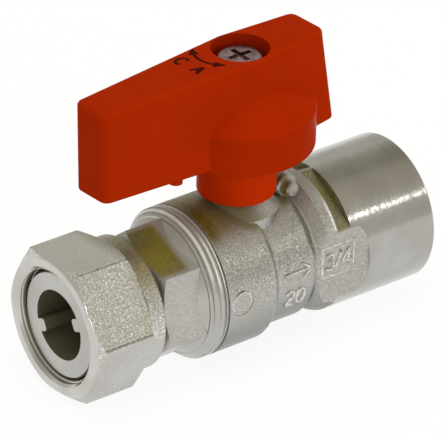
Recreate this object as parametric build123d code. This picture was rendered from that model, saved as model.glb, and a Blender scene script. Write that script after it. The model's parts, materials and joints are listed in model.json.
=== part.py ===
from build123d import *
from math import asin, cos, degrees, pi, radians, sqrt, tan
import os

# Straight ball valve with a union nut at the inlet and a female pipe thread at the outlet.
# Pieces are drawn about the ball's centre: X runs along the pipe towards the outlet, Z up the stem,
# and the front is towards -Y. All are moved at the end, so that the origin is the centre of the outlet
# thread's outer end.

# Ball and seats
BALL_R = 12.0
BORE_R = 7.5                    # ball's own bore
PASSAGE_R = 7.75                # fixed bores before and after the ball
CAVITY_GAP = 0.6                # between the ball and the body round it
SEAT_WIDTH = 2.9                # ring's radial width
SEAT_DEPTH = 3.8                # ring's length along the pipe
SEAT_LIP = 0.8                  # blunt rim next to the ball
SEAT_GAP = 0.3                  # between ball and seat
SEAT_FIT = 0.05                 # round a seat in its pocket

# Outlet end of the body
OUTLET_REACH = 41.95            # ball's centre to the outlet's mouth
SOCKET_R = 12.64                # plain bore at the pipe thread's pitch line
SOCKET_DEPTH = 18.0
SOCKET_THREAD = 1.16            # crest to root of the pipe thread
OUTLET_WALL = 3.09              # outside the thread's root
RIM_BREAK = 0.5                 # small chamfer on a turned rim

# Forged collar and wrench flats between the waist and the socket
COLLAR_START = 11.4
COLLAR_FLANK = 2.0              # length of the sloping side
COLLAR_WIDTH = 3.1
COLLAR_RISE = 0.4               # above the outlet's outside
COLLAR_EDGE = 0.75              # rounding, as a share of the rise
GROOVE_RUN = 1.9                # the waist dips in front of the collar
GROOVE_DROP = 0.9
GROOVE_FILLET = 0.5
FLATS_AF = 28.4
FLATS_WIDTH = 3.6               # along the pipe, behind the collar
FLAT_TURNS = (30, 330)          # short upper flats, in degrees from straight up towards the front
FACE_TURNS = (90, 270)          # long flats at the front and back, which cut through the collar
FACE_END = 23.9
FOOT_TURNS = (150, 210)         # lower flats, which cut through the collar and end behind it
FOOT_RUN = 0.3                  # past the collar
FACE_ROUNDING = 2.5             # at the outlet end of a long or lower flat

# Waist and inlet end of the body
WAIST_WALL = 2.47               # round the ball's cavity
BARREL_WALL = 2.9               # round the connector's thread
BARREL_REACH = 14.8             # ball's centre to the inlet face
BARREL_END = 0.2                # where the barrel has come down to the waist
BARREL_ROUNDING = 1.6
WAIST_FILLET = 1.4
TURNED_RIM = 1.05               # turned band at the inlet face
RIM_DROP = 0.2                  # that band lies below the forged skin
MARK_R = 2.7                    # round forging mark on the front
MARK_X = -10.4
MARK_Z = 1.2
MARK_DEPTH = 0.25

# Stem neck on the body
NECK_WALL = 2.0
NECK_HEIGHT = 7.7               # above the barrel
NECK_FOOT_R = 9.2
NECK_FOOT_SINK = 0.6            # foot's edge below the waist's top
NECK_BREAK = 0.5

# Stop on the body: a rib on the neck that ends in a stepped round stub pointing to the front
STOP_WIDTH = 3.0
STOP_OFFSET = -1.0              # middle of the rib, front of the stem's axis is negative
STUB_R = 2.7
STUB_FRONT = 4.0
STUB_SINK = 0.4                 # stub's axis below the barrel's top
STUB_INSET = 0.5                # stub's side inside the sleeve's outer radius
NOSE_R = 1.65
NOSE_LENGTH = 2.0
STUB_EDGE = 0.4

# End connector
CONNECTOR_AF = 26.4
CONNECTOR_TURN = 49.0           # a corner, from straight up towards the front
CONNECTOR_LENGTH = 12.0         # hexagon and conical flank
FLANGE_RIM = 1.2
FLANGE_DROP = 0.05              # rim below the barrel
FLANK_DROP = 3.6                # radial height of the conical flank
FLANK_STEP = 0.35               # turned step half way up the flank
CONNECTOR_STEP = 1.3            # thread outside the ball's cavity
THREAD_GAP = 0.1                # between screwed walls
NOSE_GAP = 0.3                  # in front of the connector's inner end
HEX_CHAMFER = 30.0              # degrees, on the ends of both hexagons
HEX_CHAMFER_DROP = 0.1          # chamfer starts this far inside the flats

# Union nut
NUT_AF = 30.0
NUT_TURN = 24.0                 # a corner, from straight up towards the front
NUT_LENGTH = 18.7
NUT_HEX = 14.6                  # length of its hexagon
NUT_COLLAR_DROP = 0.35          # round collar below the flats
NUT_THREAD_R = 12.64            # plain bore at the thread's pitch line
NUT_THREAD = 1.16               # crest to root
NUT_SHOULDER = 4.0              # ring behind the thread
NUT_BACK_GAP = 0.5              # behind the nut, up to the connector
NUT_GAP = 0.3                   # between nut and tailpiece
NUT_EDGE = 0.5

# Tailpiece
TAIL_RECESS = 1.5               # its face lies inside the nut's mouth
TAIL_FLANGE = 2.6
TAIL_WALL = 2.25
TAIL_THREAD = 8.5               # length screwed into the connector
TAIL_EDGE = 0.3
KEY_HEIGHT = 2.3                # two drive lugs in the bore
KEY_WIDTH = 2.8
KEY_LENGTH = 12.0
KEY_EDGE = 0.8
KEY_TURN = 64.0                 # from straight up towards the front

# Stem, its washer and its seals
STEM_R = 4.0
STEM_GAP = 0.1                  # running fit in the neck
STEM_FOOT = 0.4                 # flange's underside above the ball
STEM_FLANGE = 1.7
STEM_FLANGE_RISE = 1.6          # flange outside the shaft
STEM_FLANGE_GAP = 0.3
WASHER = 0.8
WASHER_GAP = 0.05
TANG_WIDTH = 4.6
TANG_LENGTH = 8.4
TANG_DEPTH = 2.8
SLOT_GAP = 0.2                  # round the tang in the ball's slot
SEAL_D = 1.4                    # section of an O-ring
SEAL_INSET = 2.7                # first ring above the washer
SEAL_PITCH = 3.4
SEAL_GROOVE = 1.7               # width of a groove
SEAL_FIT = 0.03                 # under a ring
DRIVE_FLAT = 2.9                # half the width over the flats
DRIVE_GAP = 0.1

# Handle: two wings of unequal length in the form of a long lozenge with blunt ends
HANDLE_SET = 4.7                # degrees that the wings stand past the pipe's line
HANDLE_RISE = 13.7              # wing's underside above the barrel
WING_HEIGHT = 20.9
LONG_WING_TOP = 41.5
LONG_WING_BOTTOM = 40.6
SHORT_WING_TOP = 19.3
SHORT_WING_BOTTOM = 21.2
LONG_END_TOP = 4.4              # half widths
LONG_END_BOTTOM = 4.7
MIDDLE_TOP = 7.0
MIDDLE_BOTTOM = 9.8
SHORT_END_TOP = 5.0
SHORT_END_BOTTOM = 7.2
WING_WALL = 2.2
WING_ROOF = 3.4
WING_CORNER = 2.0               # rounding of the upright edges
WING_EDGE = 0.9                 # rounding of the top edges
WING_LOWER_EDGE = 0.5
SKIRT_R = 16.4
SKIRT_DROP = 1.1                # below the wing's underside
SKIRT_HEIGHT = 9.0
SKIRT_SLOPE = 30.0              # degrees, of the conical top
SKIRT_EDGE = 0.8
SLEEVE_GAP = 0.4                # round the neck
SLEEVE_WALL = 1.98
SLEEVE_LIFT = 1.06              # above the barrel
SLEEVE_EDGE = 0.6
SCREW_SINK = 4.9                # screw's seat below the wing's top
COUNTERBORE_R = 6.3
HUB_WALL = 0.6                  # column round the counterbore
WEB = 8.5                       # thickness driven by the stem's flats
STOP_TURN = 90.0
STOP_MARGIN = 2.5               # degrees between rib and notch at each end of the turn
STOP_HEADROOM = 0.8             # notch above the rib
NIB_X = -17.2
NIB_R = 1.5
NIB_LENGTH = 5.1
NIB_RIB = 2.6                   # thickness of the cross rib that carries the nib

# Handle screw
SCREW_R = 2.5
SCREW_LENGTH = 12.0
SCREW_GAP = 0.05
SCREW_TIP_GAP = 1.0             # below the screw in its hole
SCREW_HEAD_R = 5.4
SCREW_HEAD = 3.2
SCREW_DOME = 1.4                # rounding of the head
RECESS_WIDTH = 1.2
RECESS_SPAN = 5.6
RECESS_DEPTH = 1.7
STEM_TOP_DROP = 0.3             # stem ends below the screw's seat, so the screw clamps the handle

# Sizes that follow from the ones above
cavity_r = BALL_R + CAVITY_GAP
seat_r = PASSAGE_R + SEAT_WIDTH
seat_front = sqrt((BALL_R + SEAT_GAP) ** 2 - seat_r ** 2) + SEAT_LIP
seat_back = seat_front + SEAT_DEPTH
connector_r = cavity_r + CONNECTOR_STEP
waist_r = cavity_r + WAIST_WALL
barrel_r = connector_r + BARREL_WALL
socket_mouth_r = SOCKET_R + SOCKET_THREAD / 2
outlet_r = socket_mouth_r + OUTLET_WALL
thread_mouth = OUTLET_REACH - SOCKET_THREAD / 2
collar_r = outlet_r + COLLAR_RISE
collar_end = COLLAR_START + COLLAR_FLANK + COLLAR_WIDTH
collar_edge = COLLAR_EDGE * COLLAR_RISE
flange_edge = -BARREL_REACH - FLANGE_RIM
flange_r = barrel_r - FLANGE_DROP
connector_start = flange_edge - CONNECTOR_LENGTH
nut_back = connector_start - NUT_BACK_GAP
nut_front = nut_back - NUT_LENGTH
tail_face = nut_front + TAIL_RECESS
tail_end = connector_start + TAIL_THREAD
tail_r = PASSAGE_R + TAIL_WALL
tail_flange_r = NUT_THREAD_R - NUT_THREAD / 2 - NUT_GAP
stem_hole_r = STEM_R + STEM_GAP
stem_flange_r = STEM_R + STEM_FLANGE_RISE
stem_foot = BALL_R + STEM_FOOT
washer_base = stem_foot + STEM_FLANGE
washer_top = washer_base + WASHER
neck_r = stem_hole_r + NECK_WALL
neck_top = barrel_r + NECK_HEIGHT
sleeve_base = barrel_r + SLEEVE_LIFT
sleeve_hole_r = neck_r + SLEEVE_GAP
sleeve_r = sleeve_hole_r + SLEEVE_WALL
stub_x = sleeve_r + STUB_R - STUB_INSET
stub_z = barrel_r - STUB_SINK
stop_top = stub_z + STUB_R
wing_base = barrel_r + HANDLE_RISE
wing_top = wing_base + WING_HEIGHT
skirt_base = wing_base - SKIRT_DROP
skirt_top = skirt_base + SKIRT_HEIGHT
screw_seat = wing_top - SCREW_SINK
drive_base = screw_seat - WEB
stem_top = screw_seat - STEM_TOP_DROP
sleeve_top = drive_base + WING_WALL
hub_r = COUNTERBORE_R + HUB_WALL
hub_top = wing_top - WING_ROOF / 2
seal_r = stem_hole_r - STEM_GAP - SEAL_D / 2
seal_heights = [washer_top + SEAL_INSET + i * SEAL_PITCH for i in range(2)]
beyond = 2 * OUTLET_REACH       # longer than any wall that a cut goes through


def rounded_outline(corners):
    """Closed outline through (a, b) corners, each with an optional third value for its rounding."""
    outline = make_face(Polyline(*[corner[:2] for corner in corners], close=True))
    for corner in corners:
        if len(corner) > 2:
            outline = fillet(outline.vertices().sort_by_distance((*corner[:2], 0))[0], corner[2])
    return outline


def turned(*corners):
    """Piece turned about the pipe's axis, from (x, radius) corners."""
    return revolve(rounded_outline(corners), Axis.X)


def turned_up(*corners):
    """Piece turned about the stem's axis, from (radius, z) corners."""
    return revolve(Plane.XZ * rounded_outline(corners), Axis.Z)


def along_pipe(radius, start, end):
    return Pos(start, 0, 0) * extrude(Plane.YZ * Circle(radius), end - start)


def along_stem(radius, start, end):
    return Pos(0, 0, start) * extrude(Circle(radius), end - start)


def across_pipe(radius, x, z, start, end):
    """Round bar from front to back, between two values of Y."""
    return Pos(x, start, z) * extrude(Plane.XZ * Circle(radius), start - end)


def block(x0, x1, y0, y1, z0, z1):
    return Pos((x0 + x1) / 2, (y0 + y1) / 2, (z0 + z1) / 2) * Box(x1 - x0, y1 - y0, z1 - z0)


def about_pipe(angle, piece):
    """Turn a piece that stands straight up towards the front, about the pipe's axis."""
    return Rot(angle, 0, 0) * piece


def hexagon(across_flats, turn, start, end, start_chamfer, end_chamfer):
    """Hexagonal bar along the pipe, its ends chamfered by a cone where asked."""
    corner_r = across_flats / 2 / cos(pi / 6)
    face_r = across_flats / 2 - HEX_CHAMFER_DROP
    run = (corner_r - face_r) * tan(radians(HEX_CHAMFER))
    outline = RegularPolygon(corner_r, 6, rotation=90 + turn)
    bar = Pos(start, 0, 0) * extrude(Plane.YZ * outline, end - start)
    envelope = turned(
        (start, 0),
        (start, face_r if start_chamfer else corner_r),
        (start + (run if start_chamfer else run / 2), corner_r),
        (end - (run if end_chamfer else run / 2), corner_r),
        (end, face_r if end_chamfer else corner_r),
        (end, 0),
    )
    return bar & envelope


def make_body():
    rim_r = barrel_r - RIM_DROP
    rim_end = -BARREL_REACH + TURNED_RIM
    shell = turned(
        (-BARREL_REACH, 0),
        (-BARREL_REACH, rim_r - RIM_BREAK),
        (-BARREL_REACH + RIM_BREAK, rim_r),
        (rim_end, rim_r),
        (rim_end, barrel_r),
        (BARREL_END - (barrel_r - waist_r), barrel_r, BARREL_ROUNDING),
        (BARREL_END, waist_r, WAIST_FILLET),
        (COLLAR_START - GROOVE_RUN, waist_r, WAIST_FILLET),
        (COLLAR_START, waist_r - GROOVE_DROP, GROOVE_FILLET),
        (COLLAR_START + COLLAR_FLANK, collar_r, collar_edge),
        (collar_end, collar_r, collar_edge),
        (collar_end, outlet_r),
        (OUTLET_REACH - RIM_BREAK, outlet_r),
        (OUTLET_REACH, outlet_r - RIM_BREAK),
        (OUTLET_REACH, 0),
    )
    flats_end = collar_end + FLATS_WIDTH
    flat = block(collar_end, flats_end, -beyond, beyond, FLATS_AF / 2, beyond)
    for turn in FLAT_TURNS:
        shell -= about_pipe(turn, flat)
    for turns, end in ((FACE_TURNS, FACE_END), (FOOT_TURNS, collar_end + FOOT_RUN)):
        face = block(COLLAR_START, end, -beyond, beyond, FLATS_AF / 2, beyond)
        inner_edges = face.edges().filter_by(Axis.Y).group_by(Axis.Z)[0]
        face = fillet(inner_edges.sort_by(Axis.X)[-1], FACE_ROUNDING)
        for turn in turns:
            shell -= about_pipe(turn, face)

    neck_flare = sleeve_base - SLEEVE_GAP
    shell += turned_up(
        (0, 0),
        (NECK_FOOT_R, 0),
        (NECK_FOOT_R, waist_r - NECK_FOOT_SINK),
        (neck_r, neck_flare, NECK_BREAK),
        (neck_r, neck_top - NECK_BREAK),
        (neck_r - NECK_BREAK, neck_top),
        (0, neck_top),
    )
    stub = across_pipe(STUB_R, stub_x, stub_z, -STUB_FRONT, STOP_OFFSET + STOP_WIDTH / 2)
    stub = chamfer(stub.edges().filter_by(GeomType.CIRCLE).sort_by(Axis.Y)[0], STUB_EDGE)
    nose = across_pipe(NOSE_R, stub_x, stub_z, -STUB_FRONT - NOSE_LENGTH, -STUB_FRONT + NOSE_LENGTH)
    nose = chamfer(nose.edges().filter_by(GeomType.CIRCLE).sort_by(Axis.Y)[0], STUB_EDGE)
    rib_side = STOP_WIDTH / 2
    rib = block(0, stub_x, STOP_OFFSET - rib_side, STOP_OFFSET + rib_side, 0, stop_top)
    shell += stub + nose + rib

    mark = across_pipe(MARK_R, MARK_X, MARK_Z, -beyond, -barrel_r + MARK_DEPTH)
    shell -= mark

    seat_pocket_r = seat_r + SEAT_FIT
    thread_end = -seat_front + NOSE_GAP
    shell -= turned(
        (-BARREL_REACH, 0),
        (-BARREL_REACH, connector_r),
        (thread_end, connector_r),
        (thread_end, cavity_r),
        (seat_front, cavity_r),
        (seat_front, seat_pocket_r),
        (seat_back, seat_pocket_r),
        (seat_back, PASSAGE_R),
        (OUTLET_REACH - SOCKET_DEPTH - SOCKET_R + PASSAGE_R, PASSAGE_R),
        (OUTLET_REACH - SOCKET_DEPTH, SOCKET_R),
        (thread_mouth, SOCKET_R),
        (OUTLET_REACH, socket_mouth_r),
        (OUTLET_REACH, 0),
    )
    shell -= along_stem(stem_hole_r, 0, neck_top)
    shell -= along_stem(stem_flange_r + STEM_FLANGE_GAP, 0, washer_top + WASHER_GAP)
    return shell


def make_connector():
    flank_end = flange_edge - FLANK_DROP
    flank_mid = flange_edge - FLANK_DROP / 2
    mid_r = flange_r - FLANK_DROP / 2
    solid = hexagon(CONNECTOR_AF, CONNECTOR_TURN, connector_start, flange_edge, True, False)
    solid += turned(
        (flank_end, 0),
        (flank_end, flange_r - FLANK_DROP),
        (flank_mid, mid_r),
        (flank_mid, mid_r + FLANK_STEP),
        (flange_edge, flange_r, FLANK_STEP),
        (-BARREL_REACH, flange_r),
        (-BARREL_REACH, connector_r - THREAD_GAP),
        (-seat_front, connector_r - THREAD_GAP),
        (-seat_front, 0),
    )
    tail_hole_r = tail_r + THREAD_GAP
    seat_pocket_r = seat_r + SEAT_FIT
    return solid - turned(
        (connector_start, 0),
        (connector_start, tail_hole_r),
        (tail_end, tail_hole_r),
        (tail_end, PASSAGE_R),
        (-seat_back, PASSAGE_R),
        (-seat_back, seat_pocket_r),
        (-seat_front, seat_pocket_r),
        (-seat_front, 0),
    )


def make_tailpiece():
    tube = turned(
        (tail_face, PASSAGE_R),
        (tail_face, tail_flange_r - TAIL_EDGE),
        (tail_face + TAIL_EDGE, tail_flange_r),
        (tail_face + TAIL_FLANGE, tail_flange_r),
        (tail_face + TAIL_FLANGE, tail_r),
        (tail_end, tail_r),
        (tail_end, PASSAGE_R),
    )
    key = block(
        tail_face, tail_face + KEY_LENGTH,
        -KEY_WIDTH / 2, KEY_WIDTH / 2,
        PASSAGE_R - KEY_HEIGHT, PASSAGE_R + TAIL_WALL / 2,
    )
    key = fillet(key.edges().filter_by(Axis.X).group_by(Axis.Z)[0], KEY_EDGE)
    for turn in (KEY_TURN, KEY_TURN + 180):
        tube += about_pipe(turn, key)
    return tube


def make_nut():
    hex_end = nut_front + NUT_HEX
    solid = hexagon(NUT_AF, NUT_TURN, nut_front, hex_end, True, True)
    collar_radius = NUT_AF / 2 - NUT_COLLAR_DROP
    solid += turned(
        (nut_front + NUT_HEX / 2, 0),
        (nut_front + NUT_HEX / 2, collar_radius),
        (nut_back - NUT_EDGE, collar_radius),
        (nut_back, collar_radius - NUT_EDGE),
        (nut_back, 0),
    )
    shoulder = nut_back - NUT_SHOULDER
    return solid - turned(
        (nut_front, 0),
        (nut_front, NUT_THREAD_R + NUT_THREAD / 2),
        (nut_front + NUT_THREAD / 2, NUT_THREAD_R),
        (shoulder, NUT_THREAD_R),
        (shoulder, tail_r + NUT_GAP),
        (nut_back, tail_r + NUT_GAP),
        (nut_back, 0),
    )


def make_ball():
    slot_side = TANG_WIDTH / 2 + SLOT_GAP
    slot_floor = BALL_R - TANG_DEPTH - SLOT_GAP
    slot = block(-slot_side, slot_side, -BALL_R, BALL_R, slot_floor, BALL_R)
    return Sphere(BALL_R) - along_pipe(BORE_R, -BALL_R, BALL_R) - slot


def make_seat(side):
    """Ring whose face next to the ball is part of a sphere."""
    face_r = BALL_R + SEAT_GAP
    inner = (sqrt(face_r ** 2 - PASSAGE_R ** 2), PASSAGE_R)
    outer = (seat_front, sqrt(face_r ** 2 - seat_front ** 2))
    middle = (Vector(*inner) + Vector(*outer)).normalized() * face_r
    edges = Polyline(outer, (seat_front, seat_r), (seat_back, seat_r), (seat_back, PASSAGE_R), inner)
    seat = revolve(make_face(edges + ThreePointArc(inner, middle, outer)), Axis.X)
    return seat if side > 0 else Rot(0, 0, 180) * seat


def make_stem():
    shaft = turned_up(
        (0, stem_foot),
        (stem_flange_r, stem_foot),
        (stem_flange_r, washer_base),
        (STEM_R, washer_base),
        (STEM_R, stem_top),
        (0, stem_top),
    )
    groove_r = seal_r - SEAL_D / 2 - SEAL_FIT
    for z in seal_heights:
        low, high = z - SEAL_GROOVE / 2, z + SEAL_GROOVE / 2
        shaft -= along_stem(STEM_R, low, high) - along_stem(groove_r, low, high)
    tang_x, tang_y = TANG_WIDTH / 2, TANG_LENGTH / 2
    shaft += block(-tang_x, tang_x, -tang_y, tang_y, BALL_R - TANG_DEPTH, stem_foot)
    for side in (1, -1):
        inner, outer = sorted((side * DRIVE_FLAT, side * STEM_R))
        shaft -= block(inner, outer, -STEM_R, STEM_R, drive_base, stem_top)
    hole_end = screw_seat - SCREW_LENGTH - SCREW_TIP_GAP
    return shaft - along_stem(SCREW_R + SCREW_GAP, hole_end, stem_top)


def make_washer():
    ring = along_stem(stem_flange_r, washer_base, washer_top)
    return ring - along_stem(stem_hole_r, washer_base, washer_top)


def make_seal(z):
    return Pos(0, 0, z) * Torus(seal_r, SEAL_D / 2)


def wing_outline(z, inset):
    """Handle's plan at one height: a lozenge with blunt ends that narrows evenly towards the top."""
    share = (z - wing_base) / WING_HEIGHT
    long_end = LONG_END_BOTTOM + share * (LONG_END_TOP - LONG_END_BOTTOM) - inset
    middle = MIDDLE_BOTTOM + share * (MIDDLE_TOP - MIDDLE_BOTTOM) - inset
    short_end = SHORT_END_BOTTOM + share * (SHORT_END_TOP - SHORT_END_BOTTOM) - inset
    left = -LONG_WING_BOTTOM - share * (LONG_WING_TOP - LONG_WING_BOTTOM) + inset
    right = SHORT_WING_BOTTOM + share * (SHORT_WING_TOP - SHORT_WING_BOTTOM) - inset
    near = [(left, -long_end), (0, -middle), (right, -short_end)]
    far = [(x, -y) for x, y in reversed(near)]
    return Pos(0, 0, z) * make_face(Polyline(*near, *far, close=True))


def make_handle():
    wings = loft([wing_outline(wing_base, 0), wing_outline(wing_top, 0)], ruled=True)
    uprights = wings.edges().filter_by(lambda edge: edge.bounding_box().size.Z > WING_HEIGHT / 2)
    wings = fillet(uprights, WING_CORNER)
    wings = fillet(wings.edges().group_by(Axis.Z)[-1], WING_EDGE)
    wings = fillet(wings.edges().group_by(Axis.Z)[0], WING_LOWER_EDGE)
    roof = wing_top - WING_ROOF
    hollow = loft([wing_outline(wing_base, WING_WALL), wing_outline(roof, WING_WALL)], ruled=True)
    wing_rib = block(NIB_X - NIB_RIB / 2, NIB_X + NIB_RIB / 2, -beyond, beyond, wing_base, roof)
    hollow -= wing_rib
    nib = Pos(NIB_X, 0, 0) * along_stem(NIB_R, wing_base - NIB_LENGTH, wing_base + NIB_LENGTH)

    cone_rise = SKIRT_R * tan(radians(SKIRT_SLOPE))
    skirt = turned_up(
        (0, skirt_base),
        (SKIRT_R, skirt_base, SKIRT_EDGE),
        (SKIRT_R, skirt_top, SKIRT_EDGE),
        (hub_r, skirt_top + cone_rise * (1 - hub_r / SKIRT_R)),
        (0, skirt_top + cone_rise * (1 - hub_r / SKIRT_R)),
    )
    skirt_hollow = along_stem(SKIRT_R - WING_WALL, skirt_base, skirt_top - WING_WALL)
    turn = Rot(0, 0, HANDLE_SET)
    outer = turn * wings + skirt
    hub = along_stem(hub_r, drive_base, hub_top) & outer
    sleeve = turned_up(
        (0, sleeve_base),
        (sleeve_r, sleeve_base, SLEEVE_EDGE),
        (sleeve_r, sleeve_top),
        (0, sleeve_top),
    )
    solid = outer - turn * hollow - skirt_hollow + turn * nib + hub + sleeve
    solid -= along_stem(COUNTERBORE_R, screw_seat, wing_top)
    solid -= along_stem(sleeve_hole_r, sleeve_base, drive_base)
    drive = along_stem(STEM_R + DRIVE_GAP, drive_base, screw_seat)
    drive_side = DRIVE_FLAT + DRIVE_GAP
    drive &= block(-drive_side, drive_side, -beyond, beyond, drive_base, screw_seat)
    solid -= drive

    rib_front = degrees(asin((STOP_WIDTH / 2 - STOP_OFFSET) / sleeve_hole_r))
    rib_back = degrees(asin((STOP_WIDTH / 2 + STOP_OFFSET) / sleeve_hole_r))
    notch = rounded_outline([
        (neck_r, 0),
        (sleeve_r + SLEEVE_WALL, 0),
        (sleeve_r + SLEEVE_WALL, stop_top + STOP_HEADROOM),
        (neck_r, stop_top + STOP_HEADROOM),
    ])
    notch_turn = rib_front + rib_back + STOP_TURN + 2 * STOP_MARGIN
    notch = revolve(Plane.XZ * notch, Axis.Z, notch_turn)
    return solid - Rot(0, 0, -rib_front - STOP_MARGIN) * notch


def make_screw():
    head_top = screw_seat + SCREW_HEAD
    screw = turned_up(
        (0, screw_seat - SCREW_LENGTH),
        (SCREW_R - RIM_BREAK, screw_seat - SCREW_LENGTH),
        (SCREW_R, screw_seat - SCREW_LENGTH + RIM_BREAK),
        (SCREW_R, screw_seat),
        (SCREW_HEAD_R, screw_seat),
        (SCREW_HEAD_R, head_top, SCREW_DOME),
        (0, head_top),
    )
    half_span, half_width = RECESS_SPAN / 2, RECESS_WIDTH / 2
    floor = head_top - RECESS_DEPTH
    bar = block(-half_span, half_span, -half_width, half_width, floor, head_top)
    return screw - (bar + Rot(0, 0, 90) * bar)


pieces = {
    "valve_body": make_body(),
    "end_connector": make_connector(),
    "tailpiece": make_tailpiece(),
    "union_nut": make_nut(),
    "ball": make_ball(),
    "seat_inlet": make_seat(-1),
    "seat_outlet": make_seat(1),
    "stem": make_stem(),
    "stem_washer": make_washer(),
    "stem_seal_lower": make_seal(seal_heights[0]),
    "stem_seal_upper": make_seal(seal_heights[1]),
    "handle": make_handle(),
    "handle_screw": make_screw(),
}

os.makedirs("parts", exist_ok=True)
for name, piece in pieces.items():
    export_step(Pos(-thread_mouth, 0, 0) * piece, f"parts/{name}.step")
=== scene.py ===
import json
import bpy
import numpy as np
from math import cos, pi, radians, sin
from mathutils import Matrix, Vector


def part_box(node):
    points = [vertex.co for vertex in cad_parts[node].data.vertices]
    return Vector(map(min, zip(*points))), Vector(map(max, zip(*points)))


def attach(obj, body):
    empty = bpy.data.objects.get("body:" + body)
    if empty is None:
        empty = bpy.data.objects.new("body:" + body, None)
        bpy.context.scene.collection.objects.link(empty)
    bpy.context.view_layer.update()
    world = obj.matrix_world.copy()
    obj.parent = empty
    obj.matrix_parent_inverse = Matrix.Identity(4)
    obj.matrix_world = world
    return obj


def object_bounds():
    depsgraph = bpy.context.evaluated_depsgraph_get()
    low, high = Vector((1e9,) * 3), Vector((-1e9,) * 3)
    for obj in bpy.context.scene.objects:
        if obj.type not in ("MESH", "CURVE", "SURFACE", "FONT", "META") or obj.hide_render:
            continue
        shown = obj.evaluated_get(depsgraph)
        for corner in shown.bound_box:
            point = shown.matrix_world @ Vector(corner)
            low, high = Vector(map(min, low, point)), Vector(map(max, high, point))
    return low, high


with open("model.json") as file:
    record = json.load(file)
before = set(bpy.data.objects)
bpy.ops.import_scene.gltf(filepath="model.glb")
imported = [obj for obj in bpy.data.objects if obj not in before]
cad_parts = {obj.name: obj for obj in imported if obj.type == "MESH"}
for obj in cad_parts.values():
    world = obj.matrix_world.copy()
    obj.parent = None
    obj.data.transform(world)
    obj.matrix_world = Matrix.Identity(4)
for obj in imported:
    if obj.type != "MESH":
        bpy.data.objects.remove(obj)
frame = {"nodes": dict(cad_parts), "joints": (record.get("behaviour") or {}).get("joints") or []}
cadBox = [list(map(float, corner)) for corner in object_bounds()]
mm = 0.001
leverTurn = next(joint for joint in frame["joints"] if joint["name"] == "lever_turn")
stemAxis = Vector(leverTurn["pos_m"])   # the ball's centre
print("frame loaded,", len(frame["nodes"]), "solids")


# node helpers: put makes a node, calc is one Math node, and both take sockets or plain values
def put(tree, kind, inputs=None, **settings):
    node = tree.nodes.new(kind)
    for key, value in settings.items():
        setattr(node, key, value)
    for key, value in (inputs or {}).items():
        if isinstance(value, bpy.types.NodeSocket):
            tree.links.new(value, node.inputs[key])
        else:
            node.inputs[key].default_value = value
    return node


def calc(tree, operation, *values, clamp=False):
    node = put(tree, "ShaderNodeMath", dict(enumerate(values)), operation=operation, use_clamp=clamp)
    return node.outputs[0]


def band(tree, value, low, high, fromZero=0.0, toOne=1.0):
    # smooth step of a value between low and high
    inputs = {"Value": value, "From Min": low, "From Max": high, "To Min": fromZero, "To Max": toOne}
    return put(tree, "ShaderNodeMapRange", inputs, interpolation_type="SMOOTHSTEP").outputs[0]


def stretch(tree, value, first, full, last, end):
    # one between full and last, fading to none at first and end
    return calc(tree, "MULTIPLY", band(tree, value, first, full), band(tree, value, end, last))


def swing(tree, noise, reach, middle):
    # a value that follows a noise about its middle
    return calc(tree, "MULTIPLY_ADD", calc(tree, "SUBTRACT", noise, 0.5), reach, middle)


def length(tree, first, second):
    # hypotenuse of two values
    pair = put(tree, "ShaderNodeCombineXYZ", {0: first, 1: second}).outputs[0]
    return put(tree, "ShaderNodeVectorMath", {0: pair}, operation="LENGTH").outputs["Value"]


def tone(tree, factor, first, second):
    node = put(tree, "ShaderNodeMix", data_type="RGBA")
    tree.links.new(factor, node.inputs[0])
    for socket, colour in ((node.inputs[6], first), (node.inputs[7], second)):
        if isinstance(colour, bpy.types.NodeSocket):
            tree.links.new(colour, socket)
        else:
            socket.default_value = (*colour, 1)
    return node.outputs[2]


def dim(tree, colour, factor):
    return put(tree, "ShaderNodeVectorMath", {0: colour, 3: factor}, operation="SCALE").outputs[0]


def blend(tree, factor, first, second):
    node = put(tree, "ShaderNodeMix", {0: factor, 2: first, 3: second}, data_type="FLOAT")
    return node.outputs[0]


def cloud(tree, place, scale, detail=2.0, roughness=0.5):
    inputs = {"Vector": place, "Scale": scale, "Detail": detail, "Roughness": roughness}
    return put(tree, "ShaderNodeTexNoise", inputs).outputs[0]


def startMaterial(name):
    material = bpy.data.materials.new(name)
    material.use_nodes = True
    tree = material.node_tree
    place = put(tree, "ShaderNodeTexCoord").outputs["Object"]
    return material, tree, tree.nodes["Principled BSDF"], place


def setShader(tree, shader, **sockets):
    for key, value in sockets.items():
        socket = shader.inputs[key.replace("_", " ")]
        if isinstance(value, bpy.types.NodeSocket):
            tree.links.new(value, socket)
        else:
            socket.default_value = value


def bump(tree, height, strength, distance):
    inputs = {"Height": height, "Strength": strength, "Distance": distance}
    return put(tree, "ShaderNodeBump", inputs).outputs[0]


def pipeCoordinates(tree, place):
    # millimetres along the pipe from the ball's centre, out from the pipe's axis and out from the stem's axis
    x, y, z = put(tree, "ShaderNodeSeparateXYZ", {0: place}).outputs
    along = calc(tree, "MULTIPLY", calc(tree, "SUBTRACT", x, stemAxis.x), 1 / mm)
    across = calc(tree, "MULTIPLY", y, 1 / mm)
    height = calc(tree, "MULTIPLY", z, 1 / mm)
    return {"along": along, "radius": length(tree, across, height), "fromStem": length(tree, along, across)}


def zoneMask(tree, at, zones):
    # the greatest of some zones, each the product of a smooth band for each coordinate that it names:
    # two limits are where it is none and full, and two more are where it is last full and none again
    greatest = 0.0
    for zone in zones:
        mask = 1.0
        for name in [key for key in at if key in zone]:
            edges = band if len(zone[name]) == 2 else stretch
            mask = calc(tree, "MULTIPLY", edges(tree, at[name], *zone[name]), mask)
        least = zone.get("least", 0.0)
        mask = calc(tree, "MULTIPLY_ADD", mask, zone.get("share", 1.0) - least, least)
        greatest = calc(tree, "MAXIMUM", mask, greatest)
    return greatest


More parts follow.
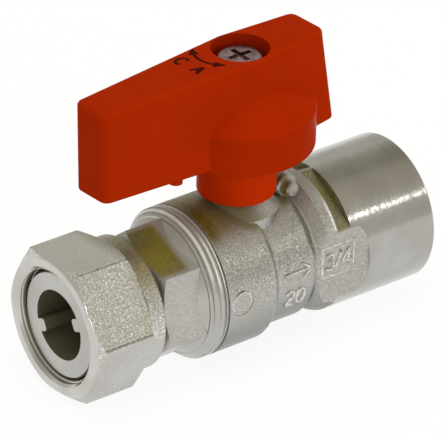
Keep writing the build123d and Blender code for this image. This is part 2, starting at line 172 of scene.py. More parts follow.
nickel = {
    "light": (0.54, 0.53, 0.5), "dark": (0.47, 0.457, 0.42),
    "blotchScale": 90, "blotchDetail": 3.0, "blotchFrom": (0.35, 0.65),   # scales are per metre
    "grainScale": 2700, "grainDetail": 1.0, "grainFrom": (0.3, 0.7),
    "grainLight": (0.68, 0.67, 0.63), "grainDark": (0.35, 0.338, 0.29),
    "grainDepth": 0.00011, "bumpStrength": 0.8,                           # depth in metres
    "plainGrain": 0.3,                 # share of the colour grain that shows away from the painted sparkle
    # the brightest grains take a painted glint
    "glint": (0.92, 0.91, 0.87), "glintFrom": (0.66, 0.72),
    "downFacing": (0.05, -0.6),        # what counts as facing down
    "wallFacing": (0.8, 0.5),          # leaves out the ends of what stands in a bore
    "blastRough": 0.31, "roughSwing": 0.12,
    # dulled plating, painted reflections in olive and umber, painted shade lines and painted highlights, in
    # the order it lies: light, dark, roughness, metallic
    "dullingAndPaintedLight": {"pale": ((0.5, 0.485, 0.44), (0.42, 0.405, 0.36), 0.5, 0.3),
               # olive painted reflection of the red handle's shaded underside
               "oliveReflection": ((0.3, 0.265, 0.045), (0.17, 0.15, 0.04), 0.45, 0.3),
               # a darker brown painted reflection of the handle
               "umberReflection": ((0.22, 0.165, 0.015), (0.1, 0.075, 0.01), 0.42, 0.3),
               # dark painted shade lines
               "paintedDarkLines": ((0.26, 0.23, 0.15), (0.06, 0.05, 0.03), 0.5, 0.5),
               # near-white painted highlight lines
               "paintedHighlight": ((0.98, 0.97, 0.94), (0.8, 0.79, 0.75), 0.3, 0.1)},
    "overlayGrain": 0.45, "overlayBlotch": 0.55, "overlayFrom": (0.42, 0.6),    # an overlay, dulled or painted, mixes both noises and is thinner in the dark blotches
    "overlayPatch": (0.2, 0.6, 0.7, 1.0),                                   # and is thinner in the dark blotches
    "bore": (0.17, 0.15, 0.095), "boreRough": 0.55, "boreMetal": 0.25,    # bare and dull inside the bore
    "latheScale": (1500, 260, 260),    # along and across the pipe
    "latheShare": 0.6, "latheFrom": (13.5, 14.5),                         # no lathe lines in the bores
    "beadFrom": (14.2, 14.6),          # beads only on the outside
    # painted highlight lines on the beads' crests and painted shade lines in the valleys beside them: half
    # widths in millimetres
    "crest": {"halfWidths": (0.32, 0.1), "upward": (0.25, 0.5, 0.8, 0.95), "share": 1.0},
    "valley": {"halfWidths": (0.17, 0.05), "upward": (-0.2, 0.2, 0.85, 0.97), "share": 0.5},
}


def beadHeight(tree, at, beads):
    # each bead is a parabola over its stretch of the pipe, as a share of the grain's depth
    total = 0.0
    for first, last, height in beads:
        place = calc(tree, "MULTIPLY_ADD", at["along"], 2 / (last - first), -(first + last) / (last - first))
        dome = calc(tree, "SUBTRACT", 1.0, calc(tree, "MULTIPLY", place, place))
        dome = calc(tree, "MAXIMUM", dome, 0.0)
        total = calc(tree, "MULTIPLY_ADD", dome, height * mm / nickel["grainDepth"], total)
    return calc(tree, "MULTIPLY", total, band(tree, at["radius"], *nickel["beadFrom"]))


def ringLines(kind, places):
    # zones of narrow painted highlight and shade lines round the outside of the pipe, strongest where the skin
    # faces half up
    look = nickel[kind]
    outer, inner = look["halfWidths"]
    return [{"along": (x - outer, x - inner, x + inner, x + outer), "radius": nickel["beadFrom"],
             "upward": look["upward"], "share": look["share"]} for x in places]


def crestLines(beads):
    return ringLines("crest", [(bead[0] + bead[1]) / 2 for bead in beads])


def valleyLines(beads):
    return ringLines("valley", [bead[0] for bead in beads])


def nickelMaterial(name, look):
    # blasted skin and lathe-turned skin, mixed by the turned zones, with dulled zones, painted reflections,
    # highlights and shade lines, a dull bore, rounded beads and, by the share in under, painted shade where
    # the blasted skin faces down
    material, tree, shader, place = startMaterial(name)
    normal = put(tree, "ShaderNodeTexCoord").outputs["Normal"]
    facing = put(tree, "ShaderNodeSeparateXYZ", {0: normal}).outputs
    upward = facing["Z"]
    at = {**pipeCoordinates(tree, place), "upward": upward}
    turned = zoneMask(tree, at, look["turned"])
    forged = calc(tree, "SUBTRACT", 1.0, turned)
    walls = band(tree, calc(tree, "ABSOLUTE", facing["X"]), *nickel["wallFacing"])
    bore = calc(tree, "MULTIPLY", zoneMask(tree, at, look["bore"]), walls)
    blotches = cloud(tree, place, nickel["blotchScale"], nickel["blotchDetail"])
    grains = cloud(tree, place, nickel["grainScale"], nickel["grainDetail"])

    # tone, with the colour grain and its glints strongest where the skin faces half up: a painted sparkle
    # where the key lamp would glint in the grain
    colour = tone(tree, band(tree, blotches, *nickel["blotchFrom"]), nickel["dark"], nickel["light"])
    frosted = tone(tree, band(tree, grains, *nickel["grainFrom"]), nickel["grainDark"], nickel["grainLight"])
    frosted = tone(tree, band(tree, grains, *nickel["glintFrom"]), frosted, nickel["glint"])
    shown = band(tree, stretch(tree, upward, *look["sparkleFacing"]), 0.0, 1.0, nickel["plainGrain"], 1.0)
    shown = calc(tree, "MULTIPLY", shown, look["grain"])
    colour = tone(tree, calc(tree, "MULTIPLY", forged, shown, clamp=True), colour, frosted)
    # painted shade: the forged skin is darker where it faces down
    downShade = calc(tree, "MULTIPLY", band(tree, upward, *nickel["downFacing"]), forged)
    colour = dim(tree, colour, calc(tree, "MULTIPLY_ADD", downShade, -look["under"] * look["lift"], look["lift"]))
    rough = blend(tree, turned, nickel["blastRough"], look["polish"])
    rough = swing(tree, blotches, nickel["roughSwing"], rough)
    metal = 1.0

    # dulled plating, painted reflections, painted highlights and painted shade lines over it, and the bore
    # over those
    mottled = calc(tree, "MULTIPLY", blotches, nickel["overlayBlotch"])
    mottled = calc(tree, "MULTIPLY_ADD", grains, nickel["overlayGrain"], mottled)
    mottled = band(tree, mottled, *nickel["overlayFrom"])
    patches = band(tree, blotches, *nickel["overlayPatch"])
    for kind, (light, dark, dullRough, dullMetal) in nickel["dullingAndPaintedLight"].items():
        if kind in look:
            overlay = calc(tree, "MULTIPLY", zoneMask(tree, at, look[kind]), patches)
            colour = tone(tree, overlay, colour, tone(tree, mottled, dark, light))
            rough = blend(tree, overlay, rough, dullRough)
            metal = blend(tree, overlay, metal, dullMetal)
    colour = tone(tree, bore, colour, nickel["bore"])
    rough = blend(tree, bore, rough, nickel["boreRough"])
    metal = blend(tree, bore, metal, nickel["boreMetal"])

    # height of the grain, the lathe lines and the beads
    drawnOut = put(tree, "ShaderNodeVectorMath", {0: place, 1: nickel["latheScale"]}, operation="MULTIPLY")
    lines = cloud(tree, drawnOut.outputs[0], 1.0)
    outside = band(tree, at["radius"], *nickel["latheFrom"], 0.0, nickel["latheShare"])
    lines = calc(tree, "MULTIPLY", lines, outside)
    height = blend(tree, turned, calc(tree, "MULTIPLY", grains, look["grain"]), lines)
    height = calc(tree, "ADD", height, beadHeight(tree, at, look["beads"])) if look["beads"] else height
    setShader(tree, shader, Base_Color=colour, Metallic=metal, Roughness=rough,
              Normal=bump(tree, height, nickel["bumpStrength"], nickel["grainDepth"]))
    return material


# zones are in millimetres from the ball's centre, and a bead is its first and last place and its height
bodyBeads = ((-14.78, -13.75, 0.26),)
bodyLook = {
    "grain": 0.85, "sparkleFacing": (-0.3, 0.45, 0.82, 0.97), "lift": 0.92, "under": 0.42, "polish": 0.16,
    "beads": bodyBeads,
    "turned": [{"along": (-13.65, -13.85)},                                  # the narrow rim at the inlet
               {"along": (16.4, 16.6), "radius": (16.1, 16.25)},             # the outlet's cylinder
               {"along": (41.6, 41.8)},                                      # its end
               {"radius": (13.9, 13.5)}],                                    # every bore
    "bore": [{"radius": (8.0, 7.8)}],
    "pale": [{"fromStem": (12.8, 11.0), "upward": (0.3, 0.7), "share": 0.7},              # the neck's foot
             {"along": (-15.2, -15.0, 4.0, 9.0), "upward": (0.62, 0.82), "share": 0.6},   # barrel and waist
             {"along": (10.9, 11.4, 13.2, 13.6), "upward": (0.2, 0.4), "share": 0.85},    # the collar's flank
             {"along": (13.2, 13.6, 16.4, 16.6), "upward": (0.2, 0.45), "share": 0.5}],   # the collar
    # olive painted reflections of the red handle's shaded underside, on faces that lie below it
    "oliveReflection": [{"along": (-14.6, -13.2, -8.5, -1.0), "upward": (0.74, 0.93)},              # the barrel's top
              # the neck's inlet and outlet sides
              {"along": (2.0, -3.0), "fromStem": (11.8, 9.6), "upward": (0.3, 0.7)},
              {"along": (7.0, 9.0), "fromStem": (11.8, 9.6), "upward": (0.3, 0.7)},
              # the near half of the stop pin
              {"along": (8.6, 9.2), "fromStem": (11.8, 10.6), "radius": (13.0, 14.0), "share": 0.8},
              # the short upper flats, and their end walls, which lie nearer to the stem than the long flats
              {"along": (16.4, 16.6, 20.15, 20.25), "radius": (16.29, 16.2), "upward": (0.6, 0.8),
               "share": 0.8},
              {"along": (20.0, 20.08, 20.15, 20.25), "radius": (16.29, 16.2), "fromStem": (24.6, 24.5),
               "share": 0.8}],
    # a darker streak of painted reflection on the barrel, next to the flange
    "umberReflection": [{"along": (-13.7, -13.3, -12.4, -9.5), "upward": (0.72, 0.87), "share": 0.85}],
    # painted highlights on the collar's edge above the long flats, and on the rim's bead
    "paintedHighlight": [{"along": (15.5, 16.0, 16.5, 16.6), "radius": (16.3, 16.5), "upward": (0.3, 0.45, 0.7, 0.9),
                "share": 0.85}] + crestLines(bodyBeads),
}
connectorBeads = ((-17.2, -16.1, 0.3), (-16.1, -14.82, 0.34))
connectorLook = {
    "grain": 0.4, "sparkleFacing": (-0.3, 0.15, 0.82, 0.97), "lift": 0.97, "under": 0.0, "polish": 0.27,
    "beads": connectorBeads,
    "turned": [{"along": (-19.5, -18.5), "least": 0.2},        # the flange, and a little of the hexagon
               {"along": (-33.0, -34.0)}],                     # the tailpiece's face
    "bore": bodyLook["bore"],
    "pale": [{"along": (-34.0, -33.0), "upward": (0.25, 0.6), "share": 0.95}],
    "oliveReflection": [{"along": (-19.2, -21.6), "radius": (15.3, 14.5), "upward": (0.6, 0.9)}],   # an olive painted reflection of the handle on the hexagon's top
    # painted shade lines in the valleys beside the beads, and painted highlights on their crests
    "paintedDarkLines": valleyLines(connectorBeads),
    "paintedHighlight": crestLines(connectorBeads),
}
nutLook = {
    "grain": 0.9, "sparkleFacing": (-0.3, 0.15, 0.82, 0.97), "lift": 1.15, "under": 0.12, "polish": 0.19,
    "beads": (),
    "turned": [{"along": (-46.6, -46.9)}, {"radius": (13.6, 13.3)}],   # front face and chamfer, and bore
    "bore": [{"along": (-46.6, -45.8), "radius": (13.6, 13.3)}],       # behind the bright mouth
    "oliveReflection": [{"along": (-36.5, -31.0), "upward": (0.35, 0.85), "share": 0.75}],   # an olive painted reflection of the handle on the round collar's top
    # painted shade lines along the sides and the back of each panel that faces half up
    "paintedDarkLines": [{"along": (-32.8, -33.0), "radius": (16.95, 17.1, 17.15, 17.3),
               "upward": (0.2, 0.4, 0.8, 0.95), "share": 0.75},
              {"along": (-33.15, -32.95, -32.9, -32.7), "upward": (0.2, 0.4, 0.8, 0.95), "share": 0.75}],
}
handleRed = {"base": (0.415, 0.0225, 0.0006), "deep": (0.39, 0.0205, 0.0005), "specular": 0.004,
             "cloudScale": 70, "skinScale": 1500, "detail": 3.0, "cloudFrom": (0.3, 0.7),
             "rough": 0.2, "roughSwing": 0.1, "skinStrength": 0.1, "skinDepth": 0.00004,
             "sleeve": (0.0285, 0.0245), "sleevePaintedLight": 1.36}   # painted light: the skin is lighter below these heights, lifting the sleeve out of the skirt's shade


def handleMaterial():
    # smooth moulded red with slight flow clouds, a very fine skin texture and painted light on the sleeve
    # below the skirt
    look = handleRed
    material, tree, shader, place = startMaterial("handle_red")
    clouds = cloud(tree, place, look["cloudScale"], look["detail"])
    skin = cloud(tree, place, look["skinScale"], look["detail"])
    colour = tone(tree, band(tree, clouds, *look["cloudFrom"]), look["deep"], look["base"])
    height = put(tree, "ShaderNodeSeparateXYZ", {0: place}).outputs[2]
    # painted light that lifts the sleeve out of the skirt's shade
    colour = dim(tree, colour, band(tree, height, *look["sleeve"], 1.0, look["sleevePaintedLight"]))
    rough = swing(tree, clouds, look["roughSwing"], look["rough"])
    setShader(tree, shader, Base_Color=colour, Roughness=rough, Specular_IOR_Level=look["specular"],
              Normal=bump(tree, skin, look["skinStrength"], look["skinDepth"]))
    return material


speckle = {"detail": 4.0, "roughness": 0.6, "from": (0.35, 0.65), "roughSwing": 0.2, "bump": 0.25}


def speckles(tree, place, scale, first, second, rough):
    # tone and roughness that follow one noise
    clouds = cloud(tree, place, scale, speckle["detail"], speckle["roughness"])
    colour = tone(tree, band(tree, clouds, *speckle["from"]), first, second)
    return clouds, colour, swing(tree, clouds, speckle["roughSwing"], rough)


def speckledMaterial(name, first, second, scale, rough, metallic=0.0, specular=0.5, depth=0.00005):
    # plain finish whose tone, roughness and skin follow one noise
    material, tree, shader, place = startMaterial(name)
    clouds, colour, roughness = speckles(tree, place, scale, first, second, rough)
    setShader(tree, shader, Base_Color=colour, Metallic=metallic, Roughness=roughness,
              Specular_IOR_Level=specular, Normal=bump(tree, clouds, speckle["bump"], depth))
    return material


# the reddish tones are a painted reflection of the handle's red counterbore
screwZinc = {"dark": (0.2, 0.13, 0.135), "light": (0.4, 0.28, 0.29), "scale": 600, "rough": 0.26,
             "skinDepth": 0.00025, "recess": (0.36, 0.22, 0.22), "recessMetal": 0.3,
             "recessZone": {"depth": (0.65, 0.9), "fromStem": (3.6, 3.2)}}   # depth is below the head's top


def screwMaterial():
    # mottled zinc tinted red as a painted reflection of the red counterbore, with a matt red recess where the
    # depth is great and the stem's axis near
    look = screwZinc
    material, tree, shader, place = startMaterial("screw_zinc")
    clouds, colour, rough = speckles(tree, place, look["scale"], look["dark"], look["light"], look["rough"])
    height = put(tree, "ShaderNodeSeparateXYZ", {0: place}).outputs[2]
    depth = calc(tree, "SUBTRACT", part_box("handle_screw")[1].z, height)
    at = {**pipeCoordinates(tree, place), "depth": calc(tree, "MULTIPLY", depth, 1 / mm)}
    recess = zoneMask(tree, at, [look["recessZone"]])
    colour = tone(tree, recess, colour, look["recess"])
    setShader(tree, shader, Base_Color=colour, Metallic=blend(tree, recess, 1.0, look["recessMetal"]),
              Roughness=rough, Normal=bump(tree, clouds, speckle["bump"], look["skinDepth"]))
    return material


forgedNickel = nickelMaterial("forged_nickel", bodyLook)
turnedNickel = nickelMaterial("turned_nickel", connectorLook)
nutNickel = nickelMaterial("nut_nickel", nutLook)
finishes = {
    "valve_body": forgedNickel,
    "end_connector": turnedNickel,
    "tailpiece": turnedNickel,
    "union_nut": nutNickel,
    "handle": handleMaterial(),
    "handle_screw": screwMaterial(),
    "ball": speckledMaterial("ball_chrome", (0.6, 0.61, 0.63), (0.68, 0.69, 0.7), 160, 0.12, 1.0),
    "stem": speckledMaterial("stem_brass", (0.62, 0.45, 0.18), (0.72, 0.55, 0.25), 500, 0.28, 1.0),
    "stem_washer": speckledMaterial("washer_ptfe", (0.74, 0.74, 0.71), (0.82, 0.82, 0.8), 300, 0.5),
    "stem_seal_lower": speckledMaterial("seal_rubber", (0.012, 0.012, 0.012), (0.025, 0.025, 0.024),
                                        900, 0.6),
}
finishes["seat_inlet"] = finishes["seat_outlet"] = finishes["stem_washer"]
finishes["stem_seal_upper"] = finishes["stem_seal_lower"]
for nodeName, finish in finishes.items():
    slots = frame["nodes"][nodeName].data.materials
    slots.clear()
    slots.append(finish)
print("finishes on", len(finishes), "solids")


# meshes from whole arrays
def meshPiece(name, points, faces, finish, body):
    mesh = bpy.data.meshes.new(name)
    mesh.from_pydata(points.tolist(), [], [face.tolist() for face in faces])
    mesh.validate()
    mesh.polygons.foreach_set("use_smooth", np.ones(len(mesh.polygons), bool))
    mesh.materials.append(finish)
    piece = bpy.data.objects.new(name, mesh)
    bpy.context.scene.collection.objects.link(piece)
    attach(piece, body)
    return piece


def tubeFaces(rows, around, offset=0, ring=False):
    # quads of a grid that is closed round its section, with a cap at each end unless the path is a ring
    i, j = np.meshgrid(np.arange(rows if ring else rows - 1), np.arange(around), indexing="ij")
    k, n = (j + 1) % around, (i + 1) % rows
    quads = np.stack([i * around + j, i * around + k, n * around + k, n * around + j], -1)
    caps = [] if ring else [np.arange(around)[::-1], (rows - 1) * around + np.arange(around)]
    return [offset + quad for quad in quads.reshape(-1, 4)] + [offset + cap for cap in caps]


# millimetres, but fade is in half turns and half is a share of the pitch
pipeThread = {"pitch": 25.4 / 14, "wall": 12.64, "height": 0.58, "sink": 0.2, "half": 0.46,
              "steps": 72, "around": 12, "crestPower": 1.5, "fade": 0.6, "least": 0.02,
              "lead": 1.2, "outletDepth": 16.5, "nutDepth": 13.6}


def threadPiece(name, start, end, finish, body):
    # a ridge with a rounded crest carried along a helix about the pipe, fading out at both ends
    size = pipeThread
    turns = (end - start) / size["pitch"]
    angle = np.linspace(0, 2 * pi * turns, int(turns * size["steps"]))
    fromEnd = np.minimum(angle, angle[-1] - angle)
    fade = np.clip(fromEnd / (size["fade"] * pi), size["least"], 1)[:, None]
    section = np.linspace(0, 2 * pi, size["around"], endpoint=False)
    crest = np.clip(np.sin(section), 0, 1) ** size["crestPower"] * size["height"]
    root = np.clip(np.sin(section), -1, 0) * size["sink"]
    x = start + size["pitch"] * angle[:, None] / (2 * pi) + size["half"] * size["pitch"] * np.cos(section)
    radius = size["wall"] - crest * fade - root
    y, z = radius * np.sin(angle)[:, None], radius * np.cos(angle)[:, None]
    points = np.stack([x * mm, y * mm, z * mm], -1).reshape(-1, 3) + np.array(stemAxis)
    return meshPiece(name, points, tubeFaces(len(angle), len(section)), finish, body)


def arc(centre, radius, first, last, count=25):
    # points on a circle between two angles in degrees
    t = np.radians(np.linspace(first, last, count))
    return np.stack([centre[0] + radius * np.cos(t), centre[1] + radius * np.sin(t)], -1)


def line(*corners):
    # straight runs with a few points each
    runs = [np.linspace(a, b, 6, endpoint=False) for a, b in zip(corners[:-1], corners[1:])]
    return np.concatenate(runs + [np.array([corners[-1]])])


# a stroke's section from one foot over the top to the other: share of the width, and share of the slope
stroke = {"across": np.array([0.5, 0.5, 0.25, -0.25, -0.5, -0.5]), "toe": np.array([1, 0, 0, 0, 0, -1]),
          "shoulder": 0.6}


def strokePoints(path, width, height, sink, slope, ring):
    # a low rounded section carried along a flat path: columns are place along, place across, height
    step = np.roll(path, -1, 0) - np.roll(path, 1, 0) if ring else np.gradient(path, axis=0)
    step /= np.linalg.norm(step, axis=1)[:, None]
    side = np.stack([-step[:, 1], step[:, 0]], -1)
    width = np.broadcast_to(width, len(path))[:, None]
    offset = stroke["across"] * width + stroke["toe"] * slope
    flat = path[:, None, :] + offset[:, :, None] * side[:, None, :]
    low = stroke["shoulder"] * height
    level = np.broadcast_to(np.array([-sink, low, height, height, low, -sink]), flat.shape[:2])
    return np.concatenate([flat, level[:, :, None]], -1).reshape(-1, 3)


def markPiece(name, strokes, place, height, sink, slope, finish, body):
    # all strokes of one mark, laid on a surface by place(points)
    points, faces, count = [], [], 0
    for path, width in strokes:
        ring = np.allclose(path[0], path[-1])
        path = path[:-1] if ring else path
        solid = strokePoints(path, width, height, sink, slope, ring)
        faces += tubeFaces(len(path), len(stroke["across"]), count, ring)
        points.append(solid)
        count += len(solid)
    return meshPiece(name, place(np.concatenate(points)), faces, finish, body)


def addThreads():
    # in the outlet and in the loose nut
    size = pipeThread
    outletEnd = (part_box("valve_body")[1].x - stemAxis.x) / mm
    nutFront = (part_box("union_nut")[0].x - stemAxis.x) / mm
    threadPiece("outlet_thread", outletEnd - size["outletDepth"], outletEnd - size["lead"],
                forgedNickel, "valve")
    threadPiece("nut_thread", nutFront + size["lead"], nutFront + size["nutDepth"],
                nutNickel, "nut")


addThreads()
print("threads cut")

# turns are in degrees, and a letter's widths are shares of its height
handlePrint = {"set": 4.7, "stroke": 0.72, "thick": 0.02, "sink": 0.03, "slope": 0.01,
               "letter": 2.9, "letterC": (-13.4, 3.2), "bowlTurn": (45, 315), "bowlWidth": 0.38,
               "letterA": (-13.2, -1.8), "footWidth": 0.34, "barWidth": 0.6, "barAt": -0.3,
               "arrowCentre": (-4.2, 1.2), "arrowRadius": 5.9, "arrowFrom": 155, "arrowTo": 213,
               "bowPoints": 40, "headPoints": 12, "headTurn": 26, "headWidth": 2.4, "tipWidth": 0.06}
printDark = speckledMaterial("print_dark", (0.045, 0.006, 0.002), (0.065, 0.008, 0.003), 900, 0.5,
                             specular=0.004)
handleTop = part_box("handle")[1].z


def onHandle(points):
    # flat drawing in the handle's own directions, laid on its top
    turn = radians(handlePrint["set"])
    x = points[:, 0] * cos(turn) - points[:, 1] * sin(turn)
    y = points[:, 0] * sin(turn) + points[:, 1] * cos(turn)
    z = handleTop + points[:, 2] * mm
    return np.stack([stemAxis.x + x * mm, stemAxis.y + y * mm, z], -1)


def reading(path, middle):
    # letters are read across the handle: their right is towards the front, their top towards the screw
    return np.stack([middle[0] + path[:, 1], middle[1] - path[:, 0]], -1)


def addPrint():
    size = handlePrint
    tall = size["letter"] / 2
    bowl = arc((0, 0), 1.0, *size["bowlTurn"]) * np.array([size["bowlWidth"] * size["letter"], tall])
    letterC = [(reading(bowl, size["letterC"]), size["stroke"])]
    foot = size["footWidth"] * size["letter"]
    bar = size["barWidth"] * foot
    legs = [line((-foot, -tall), (0, tall)), line((foot, -tall), (0, tall)),
            line((-bar, size["barAt"]), (bar, size["barAt"]))]
    letterA = [(reading(leg, size["letterA"]), size["stroke"]) for leg in legs]
    circle = (size["arrowCentre"], size["arrowRadius"])
    arrow = [(arc(*circle, size["arrowFrom"], size["arrowTo"], size["bowPoints"]), size["stroke"])]
    for first, way in ((size["arrowFrom"], -1), (size["arrowTo"], 1)):
        head = arc(*circle, first, first + way * size["headTurn"], size["headPoints"])
        arrow.append((head, np.linspace(size["headWidth"], size["tipWidth"], size["headPoints"])))
    for name, strokes in (("print_c", letterC), ("print_a", letterA), ("print_arrow", arrow)):
        markPiece(name, strokes, onHandle, size["thick"], size["sink"], size["slope"],
                  printDark, "lever")


addPrint()
print("handle printed")

# on the waist a mark's turn is in degrees from straight up, and on a flat its place is along and up
castMarks = {"radius": 15.07, "height": 0.34, "sink": 0.3, "slope": 0.3, "stroke": 0.5,
             "arrowFrom": 2.2, "arrowTo": 9.0, "arrowTurn": 80,
             "tipGap": 0.4, "headRun": 2.2, "headHalf": 1.6,
             "numberAt": 3.6, "numberTurn": 103, "digit": 3.8, "digitStep": 2.9,
             "flat": -14.2, "flatNumberAt": (14.6, 1.6), "flatDigit": 3.7, "flatStep": 2.3,
             "frame": ((12.7, -2.0), (21.2, -2.0), (21.2, 5.2), (12.7, 5.2), (12.7, -2.0)),
             "ring": 2.5, "ringPoints": 49, "ringAt": (-10.4, 1.2), "ringFlat": -16.55,
             "fineStroke": 0.3, "fineHeight": 0.12}
# the marks' own skin, rubbed brighter than the forging
markNickel = speckledMaterial("mark_nickel", (0.5, 0.49, 0.45), (0.86, 0.85, 0.81), 1500, 0.3, 1.0,
                              depth=0.0002)
# figures in a cell one wide and one and a half tall
figureHeight = 1.5
figures = {"2": [np.concatenate([arc((0, 0.33), 0.42, 165, -35), line((-0.45, -0.75), (0.45, -0.75))])],
           "0": [arc((0, 0), 1.0, 0, 360, 33) * np.array([0.42, 0.75])],
           "3": [arc((0, 0.37), 0.38, 150, -85), arc((0, -0.34), 0.42, 85, -150)],
           "4": [line((0.2, -0.75), (0.2, 0.75), (-0.48, -0.3), (0.5, -0.3))],
           "/": [line((-0.35, -0.8), (0.35, 0.8))]}


def number(text, start, size, step):
    # figures in a row from start, with the drawing's first direction along the row
    row = []
    for place, name in enumerate(text):
        corner = np.array([start[0] + place * step, start[1]])
        row += [path * size / figureHeight + corner for path in figures[name]]
    return row


def onWaist(points):
    # wrapped on the waist: first is x from the ball, second is arc length up from the front
    turn = pi / 2 - points[:, 1] / castMarks["radius"]
    radius = castMarks["radius"] + points[:, 2]
    x = stemAxis.x + points[:, 0] * mm
    return np.stack([x, -radius * np.sin(turn) * mm, radius * np.cos(turn) * mm], -1)


def onFront(depth):
    # on a flat that faces the front, at y = depth
    def place(points):
        x = stemAxis.x + points[:, 0] * mm
        return np.stack([x, (depth - points[:, 2]) * mm, points[:, 1] * mm], -1)
    return place


def addCastMarks():
    size = castMarks
    bold = (size["stroke"], size["height"])
    fine = (size["fineStroke"], size["fineHeight"])
    rise, drop = (radians(90 - size[key]) * size["radius"] for key in ("arrowTurn", "numberTurn"))
    tip = (size["arrowTo"], rise)
    arrow = [line((size["arrowFrom"], rise), (tip[0] - size["tipGap"], rise))]
    arrow += [line((tip[0] - size["headRun"], rise + way * size["headHalf"]), tip) for way in (-1, 1)]
    waistNumber = number("20", (size["numberAt"], drop), size["digit"], size["digitStep"])
    flatNumber = number("3/4", size["flatNumberAt"], size["flatDigit"], size["flatStep"])
    ring = arc(size["ringAt"], size["ring"], 0, 360, size["ringPoints"])
    marks = (("flow_arrow", arrow, onWaist, bold),
             ("raised_number", waistNumber, onWaist, bold),
             ("raised_size", flatNumber, onFront(size["flat"]), bold),
             ("raised_frame", [line(*size["frame"])], onFront(size["flat"]), fine),
             ("forging_ring", [ring], onFront(size["ringFlat"]), fine))
    for name, paths, place, (width, height) in marks:
        markPiece(name, [(path, width) for path in paths], place, height, size["sink"], size["slope"],
                  markNickel, "valve")


addCastMarks()
print("raised marks on the body")

# the photograph's camera, about the ball's centre: degrees, metres away, and millimetres right and up
shot = {"azimuth": -37.87, "elevation": 30.29, "roll": 1.51, "distance": 1.0, "right": 2.91, "up": -8.62,
        "focalPixels": 4704.24, "imageWidth": 441, "sensor": 36.0, "clipEnd": 50}


def addCamera():
    azimuth, elevation, roll = (radians(shot[key]) for key in ("azimuth", "elevation", "roll"))
    back = Vector((sin(azimuth) * cos(elevation), -cos(azimuth) * cos(elevation), sin(elevation)))
    level = (-back).cross(Vector((0, 0, 1))).normalized()
    above = level.cross(-back)
    right = level * cos(roll) + above * sin(roll)
    up = above * cos(roll) - level * sin(roll)
    lens = bpy.data.cameras.new("camera")
    lens.sensor_width = shot["sensor"]
    lens.lens = shot["focalPixels"] / shot["imageWidth"] * shot["sensor"]
    lens.clip_end = shot["clipEnd"]
    camera = bpy.data.objects.new("camera", lens)
    camera.matrix_world = Matrix((right, up, back)).transposed().to_4x4()
    camera.location = stemAxis - right * shot["right"] * mm - up * shot["up"] * mm + back * shot["distance"]
    bpy.context.scene.collection.objects.link(camera)
    bpy.context.scene.camera = camera


addCamera()

studio = {"floorSize": 6.0, "floorTone": 0.86, "shadowShare": 0.14,
          "floorWhite": 1.045,                           # for the camera alone
          "skyStops": ((0.5, 0.74, 0.93), (0.55, 0.68, 0.92), (0.63, 0.63, 0.9), (0.735, 0.68, 0.9),
                       (0.8, 0.5, 0.86), (0.84, 0.4, 0.8), (0.91, 0.36, 0.78),
                       (1.0, 0.38, 0.8)),                # height, grey, and blue as a share of it
          "greenShare": 0.75,                            # how near green stays to the grey
          "glowAt": (0.53, -0.3, 0.8), "glow": 0.5, "glowFrom": 0.86}
# lamps: where from, how far in metres, side in metres, watts, and whether the metal mirrors it
lamps = {"key": ((0.53, -0.68, 0.5), 0.9, 0.05, 0.12, True),
         "softFront": ((0.15, -0.95, 0.15), 1.2, 0.8, 3.6, False),
         "softTop": ((-0.1, -0.1, 1.0), 1.2, 1.0, 6.2, False)}


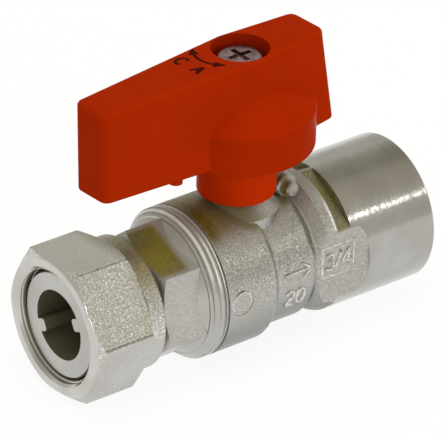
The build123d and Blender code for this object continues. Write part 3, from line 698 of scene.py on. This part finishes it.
def addFloor():
    # white to the camera and to reflections, but for a share that takes light and shadow
    half = studio["floorSize"] / 2
    corners = np.array([(-half, -half), (half, -half), (half, half), (-half, half)])
    points = np.column_stack([corners, np.full(len(corners), cadBox[0][2])])
    mesh = bpy.data.meshes.new("floor")
    mesh.from_pydata(points.tolist(), [], [(0, 1, 2, 3)])
    floor = bpy.data.objects.new("floor", mesh)
    bpy.context.scene.collection.objects.link(floor)
    material = bpy.data.materials.new("floor_white")
    material.use_nodes = True
    tree = material.node_tree
    tree.nodes.clear()
    ray = put(tree, "ShaderNodeLightPath").outputs
    seen = calc(tree, "MAXIMUM", ray["Is Camera Ray"], ray["Is Glossy Ray"])
    seen = calc(tree, "MAXIMUM", seen, ray["Is Transmission Ray"])
    matt = put(tree, "ShaderNodeBsdfDiffuse", {"Color": (*[studio["floorTone"]] * 3, 1)})
    shine = blend(tree, ray["Is Camera Ray"], 1.0, studio["floorWhite"])
    white = put(tree, "ShaderNodeEmission", {"Color": (1, 1, 1, 1), "Strength": shine})
    share = calc(tree, "MULTIPLY", seen, 1 - studio["shadowShare"])
    mixed = put(tree, "ShaderNodeMixShader", {0: share, 1: matt.outputs[0], 2: white.outputs[0]})
    put(tree, "ShaderNodeOutputMaterial", {"Surface": mixed.outputs[0]})
    mesh.materials.append(material)


def addSky():
    # grey by height above the horizon, with a soft glow above the key lamp
    world = bpy.data.worlds.new("studio")
    bpy.context.scene.world = world
    world.use_nodes = True
    tree = world.node_tree
    tree.nodes.clear()
    direction = put(tree, "ShaderNodeTexCoord").outputs["Generated"]
    height = put(tree, "ShaderNodeSeparateXYZ", {0: direction}).outputs[2]
    ramp = put(tree, "ShaderNodeValToRGB", {0: calc(tree, "MULTIPLY_ADD", height, 0.5, 0.5)})
    stops = ramp.color_ramp.elements
    while len(stops) < len(studio["skyStops"]):
        stops.new(0.5)
    for stop, (at, grey, blue) in zip(stops, studio["skyStops"]):
        green = studio["greenShare"] + (1 - studio["greenShare"]) * blue
        stop.position = at
        stop.color = (grey, grey * green, grey * blue, 1)
    toGlow = Vector(studio["glowAt"]).normalized()
    nearness = put(tree, "ShaderNodeVectorMath", {0: direction, 1: toGlow}, operation="DOT_PRODUCT")
    glow = band(tree, nearness.outputs["Value"], studio["glowFrom"], 1.0, 1.0, 1.0 + studio["glow"])
    ray = put(tree, "ShaderNodeLightPath").outputs
    sky = tone(tree, ray["Is Camera Ray"], ramp.outputs[0], (1, 1, 1))
    strength = blend(tree, ray["Is Camera Ray"], glow, 1.0)
    light = put(tree, "ShaderNodeBackground", {"Color": sky, "Strength": strength})
    put(tree, "ShaderNodeOutputWorld", {"Surface": light.outputs[0]})


def addLamps():
    for name, (toward, away, side, watts, mirrored) in lamps.items():
        toLamp = Vector(toward).normalized()
        lamp = bpy.data.lights.new(name, "AREA")
        lamp.size, lamp.energy = side, watts
        lampObject = bpy.data.objects.new(name, lamp)
        lampObject.location = stemAxis + toLamp * away
        lampObject.rotation_euler = toLamp.to_track_quat("Z", "Y").to_euler()
        lampObject.visible_glossy = mirrored
        bpy.context.scene.collection.objects.link(lampObject)


bpy.context.scene.view_settings.view_transform = "Standard"
addFloor()
addSky()
addLamps()
print("camera, floor and light set")
